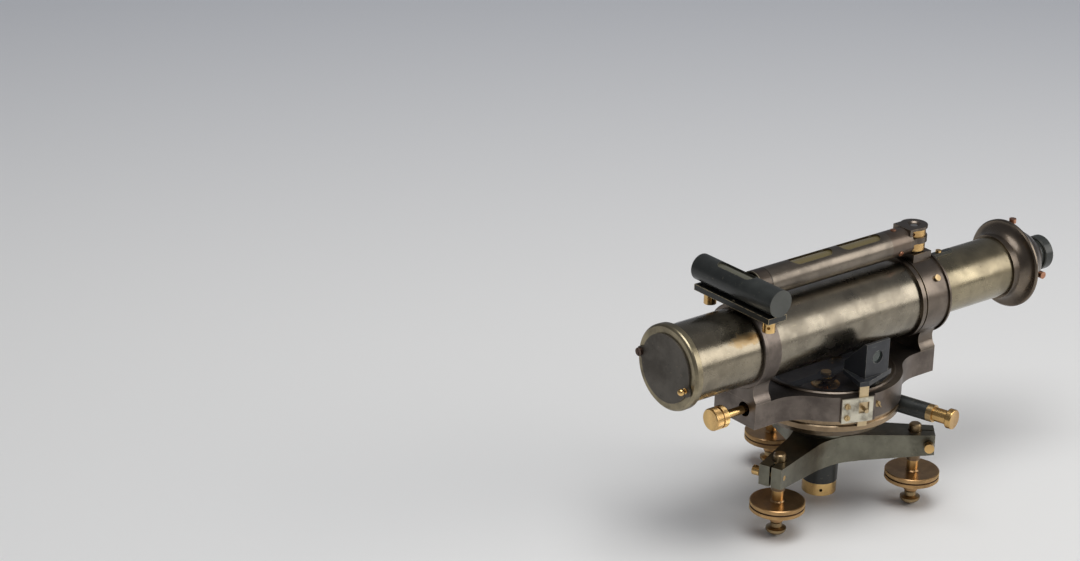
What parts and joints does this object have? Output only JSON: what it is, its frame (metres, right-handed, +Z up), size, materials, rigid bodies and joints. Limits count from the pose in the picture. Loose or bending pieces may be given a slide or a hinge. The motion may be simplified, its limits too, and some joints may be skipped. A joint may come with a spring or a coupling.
{
  "type": "surveyor's dumpy level with prismatic compass",
  "caption": "Telescopic surveying level on a three-screw tribrach, with two spirit levels, rack focusing, slow motion, a compass let into the stage and its reading prism.",
  "frame": {"origin": "on the vertical axis, in the plane on which the three feet stand", "axes": "+Z up along the vertical axis; +X along the telescope from the object glass to the eyepiece; +Y completes a right-handed set, on the far side from the reading prism"},
  "size_m": [0.3398, 0.1513, 0.1813],
  "materials": {
    "oxidised_bronze": "oxidised and lacquered, glossy",
    "dark_gunmetal": "oxidised, satin",
    "gunmetal": "worn, satin",
    "olive_casting": "oxidised casting, satin",
    "gold_lacquer": "lacquered, glossy",
    "copper_brown": "worn lacquer, satin",
    "pale_brass": "turned, bright",
    "satin_black": "blackened, satin",
    "silvered": "silvered, satin",
    "steel": "turned",
    "optical_glass": "polished",
    "vial_glass": "polished",
    "compass_glass": "polished",
    "card": "silvered, matt",
    "bronze_brown": "worn lacquer, glossy"
  },
  "bodies": {
    "base": {"tribrach": "olive_casting", "centre_socket": "olive_casting", "socket_cap": "gold_lacquer", "arm_clamp_screws": "copper_brown"},
    "ball_foot_front": {"ball_foot_front": "pale_brass"},
    "foot_screw_front": {"foot_screw_front": "copper_brown"},
    "ball_foot_right": {"ball_foot_right": "pale_brass"},
    "foot_screw_right": {"foot_screw_right": "copper_brown"},
    "ball_foot_rear": {"ball_foot_rear": "pale_brass"},
    "foot_screw_rear": {"foot_screw_rear": "copper_brown"},
    "clamp": {"clamp_ring": "bronze_brown", "tangent_barrel": "oxidised_bronze"},
    "clamp_screw": {"clamp_screw": "gold_lacquer"},
    "tangent_plunger": {"tangent_plunger": "gold_lacquer"},
    "tangent_knob": {"tangent_knob": "gold_lacquer"},
    "upper": {"stage": "gunmetal", "spindle": "steel", "spindle_nut": "steel", "front_collar": "gunmetal", "rear_collar": "dark_gunmetal", "compass_bezel": "dark_gunmetal", "compass_glass": "compass_glass", "compass_pivot": "steel", "prism_guide": "silvered", "fixing_screws": "gold_lacquer", "main_barrel": "oxidised_bronze", "objective_cell": "oxidised_bronze", "objective_lens": "optical_glass", "pinion_box": "dark_gunmetal", "level_hinge": "gunmetal", "level_stud": "gold_lacquer", "cross_plate": "gunmetal"},
    "lifter_screw": {"lifter_screw": "bronze_brown"},
    "lifter_ring": {"lifter_ring": "gold_lacquer"},
    "compass_card": {"compass_card": "card"},
    "prism": {"prism_slide": "dark_gunmetal", "prism_box": "satin_black", "prism_glass": "optical_glass"},
    "ray_shade": {"ray_shade": "oxidised_bronze", "shade_ring": "bronze_brown", "shutter_pivot": "gold_lacquer"},
    "shutter": {"shutter": "dark_gunmetal"},
    "eye_tube": {"draw_tube": "oxidised_bronze", "eye_head": "oxidised_bronze", "reticle": "satin_black", "diaphragm_screws": "copper_brown", "tube_key": "dark_gunmetal"},
    "focus": {"focus_pinion": "steel", "focus_knob": "gold_lacquer"},
    "eyepiece": {"eyepiece": "satin_black", "eyepiece_lens": "optical_glass"},
    "main_level": {"level_tube": "oxidised_bronze", "level_vial": "vial_glass", "level_eye": "pale_brass"},
    "level_nut_lower": {"level_nut_lower": "gold_lacquer"},
    "level_nut_upper": {"level_nut_upper": "gold_lacquer"},
    "cross_level": {"cross_tube": "satin_black", "cross_vial": "vial_glass"},
    "cross_screw_near": {"cross_screw_near": "gold_lacquer"},
    "cross_screw_far": {"cross_screw_far": "gold_lacquer"}
  },
  "joints": [
    {"name": "foot_rise_front", "type": "slide", "parent": "base", "child": "ball_foot_front", "axis": [0, 0, 1], "range_m": [-0.00305, 0.00405]},
    {"name": "foot_turn_front", "type": "hinge", "parent": "ball_foot_front", "child": "foot_screw_front", "pos_m": [-0.05638, -0.02052, 0.0216], "axis": [0, 0, 1], "range_deg": [-1350, 1800]},
    {"name": "foot_rise_right", "type": "slide", "parent": "base", "child": "ball_foot_right", "axis": [0, 0, 1], "range_m": [-0.00305, 0.00405]},
    {"name": "foot_turn_right", "type": "hinge", "parent": "ball_foot_right", "child": "foot_screw_right", "pos_m": [0.04596, -0.03857, 0.0216], "axis": [0, 0, 1], "range_deg": [-1350, 1800]},
    {"name": "foot_rise_rear", "type": "slide", "parent": "base", "child": "ball_foot_rear", "axis": [0, 0, 1], "range_m": [-0.00305, 0.00405]},
    {"name": "foot_turn_rear", "type": "hinge", "parent": "ball_foot_rear", "child": "foot_screw_rear", "pos_m": [0.01042, 0.05909, 0.0216], "axis": [0, 0, 1], "range_deg": [-1350, 1800]},
    {"name": "clamp_turn", "type": "hinge", "parent": "base", "child": "clamp", "pos_m": [0, 0, 0.0715], "axis": [0, 0, 1], "continuous": true},
    {"name": "clamp_screw_turn", "type": "hinge", "parent": "clamp", "child": "clamp_screw", "pos_m": [-0.00847, 0.04806, 0.063], "axis": [-0.1736, 0.9848, 0], "range_deg": [0, 60]},
    {"name": "tangent_feed", "type": "slide", "parent": "clamp", "child": "tangent_plunger", "axis": [0.274, -0.9617, 0], "range_m": [-0.00102, 0.00102]},
    {"name": "tangent_turn", "type": "hinge", "parent": "tangent_plunger", "child": "tangent_knob", "pos_m": [0.04405, -0.06959, 0.0738], "axis": [0.274, -0.9617, 0], "range_deg": [-720, 720]},
    {"name": "upper_turn", "type": "hinge", "parent": "clamp", "child": "upper", "pos_m": [0, 0, 0.09], "axis": [0, 0, 1], "range_deg": [-2.45, 2.45]},
    {"name": "lifter_turn", "type": "hinge", "parent": "upper", "child": "lifter_screw", "pos_m": [-0.1, -0.0087, 0.0905], "axis": [1, 0, 0], "range_deg": [0, 540]},
    {"name": "lifter_rise", "type": "slide", "parent": "upper", "child": "lifter_ring", "axis": [0, 0, 1], "range_m": [0, 0.00101]},
    {"name": "card_swing", "type": "hinge", "parent": "upper", "child": "compass_card", "pos_m": [0, 0, 0.0908], "axis": [0, 0, 1], "continuous": true},
    {"name": "prism_focus", "type": "slide", "parent": "upper", "child": "prism", "axis": [0, 0, 1], "range_m": [-0.0016, 0.0032]},
    {"name": "shade_slide", "type": "slide", "parent": "upper", "child": "ray_shade", "axis": [-1, 0, 0], "range_m": [0, 0.025]},
    {"name": "shutter_swing", "type": "hinge", "parent": "ray_shade", "child": "shutter", "pos_m": [-0.1379, 0.0236, 0.1342], "axis": [1, 0, 0], "range_deg": [-150, 0]},
    {"name": "focus_turn", "type": "hinge", "parent": "upper", "child": "focus", "pos_m": [0.04, 0.033, 0.10422], "axis": [0, 1, 0], "range_deg": [0, 435]},
    {"name": "eye_tube_slide", "type": "slide", "parent": "upper", "child": "eye_tube", "axis": [1, 0, 0], "range_m": [0, 0.0318]},
    {"name": "eyepiece_slide", "type": "slide", "parent": "eye_tube", "child": "eyepiece", "axis": [1, 0, 0], "range_m": [-0.003, 0.006]},
    {"name": "level_tilt", "type": "hinge", "parent": "upper", "child": "main_level", "pos_m": [-0.0656, 0, 0.1698], "axis": [0, 1, 0], "range_deg": [-0.25, 0.25]},
    {"name": "level_nut_lower_turn", "type": "hinge", "parent": "main_level", "child": "level_nut_lower", "pos_m": [0.0708, 0, 0.1617], "axis": [0, 0, 1], "range_deg": [-360, 360]},
    {"name": "level_nut_upper_turn", "type": "hinge", "parent": "main_level", "child": "level_nut_upper", "pos_m": [0.0708, 0, 0.171], "axis": [0, 0, 1], "range_deg": [-360, 360]},
    {"name": "cross_tilt", "type": "hinge", "parent": "upper", "child": "cross_level", "pos_m": [-0.079, 0, 0.16145], "axis": [1, 0, 0], "range_deg": [-0.345, 0.345]},
    {"name": "cross_screw_near_turn", "type": "hinge", "parent": "upper", "child": "cross_screw_near", "pos_m": [-0.079, -0.0275, 0.156], "axis": [0, 0, 1], "range_deg": [-150, 150]},
    {"name": "cross_screw_far_turn", "type": "hinge", "parent": "upper", "child": "cross_screw_far", "pos_m": [-0.079, 0.0275, 0.156], "axis": [0, 0, 1], "range_deg": [-150, 150]}
  ],
  "couplings": [
    {"joint": "foot_rise_front", "follows": "foot_turn_front", "m_per_rad": 0.00012732},
    {"joint": "foot_rise_right", "follows": "foot_turn_right", "m_per_rad": 0.00012732},
    {"joint": "foot_rise_rear", "follows": "foot_turn_rear", "m_per_rad": 0.00012732},
    {"joint": "tangent_feed", "follows": "upper_turn", "m_per_rad": -0.0233},
    {"joint": "tangent_turn", "follows": "upper_turn", "ratio": -292.8},
    {"joint": "lifter_rise", "follows": "lifter_turn", "m_per_rad": 0.0001061},
    {"joint": "focus_turn", "follows": "eye_tube_slide", "rad_per_m": 238.1},
    {"joint": "level_tilt", "follows": "level_nut_lower_turn", "ratio": -0.00058341},
    {"joint": "level_nut_upper_turn", "follows": "level_nut_lower_turn", "ratio": 1},
    {"joint": "cross_screw_near_turn", "follows": "cross_tilt", "ratio": 431.97},
    {"joint": "cross_screw_far_turn", "follows": "cross_tilt", "ratio": -431.97}
  ]
}
